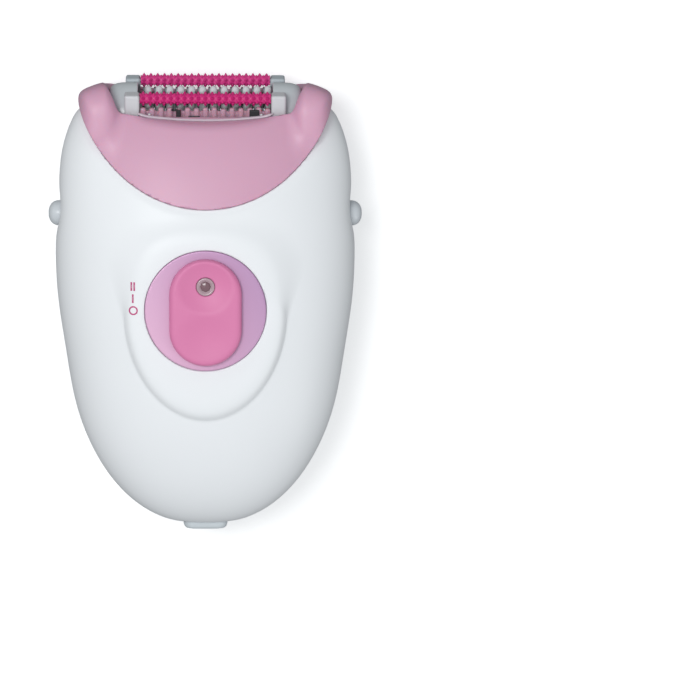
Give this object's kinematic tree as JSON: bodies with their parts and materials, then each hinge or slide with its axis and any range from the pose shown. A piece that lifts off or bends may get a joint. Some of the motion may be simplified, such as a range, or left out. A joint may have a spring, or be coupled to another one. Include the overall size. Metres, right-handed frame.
{
  "type": "epilator",
  "caption": "Handheld epilator with an egg-shaped white body, sliding switch, side release buttons and a pink pull-off head with a tweezer rotor and massage rollers.",
  "frame": {"origin": "middle of the footprint, on the flat of the back that the epilator lies on", "axes": "+X to the right seen from the front, +Y along the body towards the tweezer head, +Z out of the front, the side with the switch"},
  "size_m": [0.0732, 0.1073, 0.0432],
  "materials": {
    "whiteShell": "glossy moulded white",
    "pinkShell": "satin pearly pink",
    "pinkTrough": "satin translucent grey-pink",
    "lilacMetal": "lilac metallic lacquer",
    "pinkKnob": "satin pink",
    "clearLens": "smoked clear",
    "greyButton": "satin light grey",
    "greyCap": "satin grey-white",
    "whiteBracket": "satin white",
    "greyBracket": "satin grey",
    "magenta": "moulded magenta",
    "whiteTweezer": "satin white",
    "steel": "bright drawn steel",
    "motorSteel": "zinc plated",
    "copper": "lacquered copper windings",
    "brass": "turned brass",
    "bronze": "sintered bronze",
    "ivoryGear": "moulded acetal",
    "greyChassis": "moulded grey",
    "blackPlastic": "moulded black",
    "greenBoard": "lacquered circuit board"
  },
  "bodies": {
    "body": {"front_shell": "whiteShell", "back_shell": "whiteShell", "switch_plate": "lilacMetal", "gear_chassis": "greyChassis", "gear_cover": "blackPlastic", "cover_screw_front": "steel", "cover_screw_back": "steel", "motor_can": "motorSteel", "motor_end_bell": "blackPlastic", "motor_screw_front": "steel", "motor_screw_back": "steel", "circuit_board": "greenBoard", "switch_block": "blackPlastic", "light_diode": "clearLens", "inlet_socket": "whiteShell", "inlet_pin_left": "brass", "inlet_pin_right": "brass", "idler_axle": "steel", "output_axle": "steel", "button_spring_left": "steel", "button_spring_right": "steel"},
    "switch": {"switch_knob": "pinkKnob", "light_lens": "clearLens", "switch_fork": "blackPlastic"},
    "motor_rotor": {"motor_shaft": "steel", "motor_armature": "copper", "motor_pinion": "brass"},
    "idler": {"compound_gear": "ivoryGear"},
    "output": {"output_gear": "ivoryGear"},
    "release_left": {"release_button_left": "greyButton"},
    "release_right": {"release_button_right": "greyButton"},
    "head": {"head_housing": "pinkShell", "head_frame": "pinkTrough", "end_cap_left": "greyCap", "end_cap_right": "greyCap", "bearing_bush_left": "bronze", "bearing_bush_right": "bronze", "front_bracket_left": "whiteBracket", "front_bracket_right": "whiteBracket", "rear_bracket_left": "greyBracket", "rear_bracket_right": "greyBracket"},
    "tweezer_rotor": {"rotor_axle": "steel", "rotor_gear": "ivoryGear", "tweezer_barrel": "whiteTweezer"},
    "tweezer_grip": {"tweezer_comb": "steel"},
    "front_roller": {"massage_roller_front": "magenta", "roller_pin_front": "steel"},
    "rear_roller": {"massage_roller_rear": "magenta", "roller_pin_rear": "steel"}
  },
  "joints": [
    {"name": "switch_slide", "type": "slide", "parent": "body", "child": "switch", "axis": [0, 1, 0], "range_m": [0, 0.0058]},
    {"name": "release_left_press", "type": "slide", "parent": "body", "child": "release_left", "axis": [1, 0, 0], "range_m": [0, 0.0014], "stiffness_N_per_m": 400, "springref_m": -0.001, "deforming": ["button_spring_left"]},
    {"name": "release_right_press", "type": "slide", "parent": "body", "child": "release_right", "axis": [-1, 0, 0], "range_m": [0, 0.0014], "stiffness_N_per_m": 400, "springref_m": -0.001, "deforming": ["button_spring_right"]},
    {"name": "head_pull_off", "type": "slide", "parent": "body", "child": "head", "axis": [0, 1, 0], "range_m": [0, 0.04]},
    {"name": "tweezer_spin", "type": "hinge", "parent": "head", "child": "tweezer_rotor", "pos_m": [0, 0.0449, 0.019], "axis": [1, 0, 0], "continuous": true},
    {"name": "output_spin", "type": "hinge", "parent": "body", "child": "output", "pos_m": [0, 0.0305, 0.019], "axis": [1, 0, 0], "continuous": true},
    {"name": "idler_spin", "type": "hinge", "parent": "body", "child": "idler", "pos_m": [0, 0.0173, 0.019], "axis": [1, 0, 0], "continuous": true},
    {"name": "motor_spin", "type": "hinge", "parent": "body", "child": "motor_rotor", "pos_m": [0, 0.0035, 0.019], "axis": [1, 0, 0], "continuous": true},
    {"name": "tweezer_grip_slide", "type": "slide", "parent": "tweezer_rotor", "child": "tweezer_grip", "axis": [1, 0, 0], "range_m": [0, 0.0005], "stiffness_N_per_m": 300, "springref_m": -0.0003},
    {"name": "front_roller_spin", "type": "hinge", "parent": "head", "child": "front_roller", "pos_m": [0, 0.04912, 0.02705], "axis": [1, 0, 0], "continuous": true},
    {"name": "rear_roller_spin", "type": "hinge", "parent": "head", "child": "rear_roller", "pos_m": [0, 0.05203, 0.01336], "axis": [1, 0, 0], "continuous": true}
  ],
  "couplings": [
    {"joint": "output_spin", "follows": "tweezer_spin", "ratio": -0.6},
    {"joint": "idler_spin", "follows": "tweezer_spin", "ratio": 1.2857},
    {"joint": "motor_spin", "follows": "tweezer_spin", "ratio": -3.6429}
  ]
}
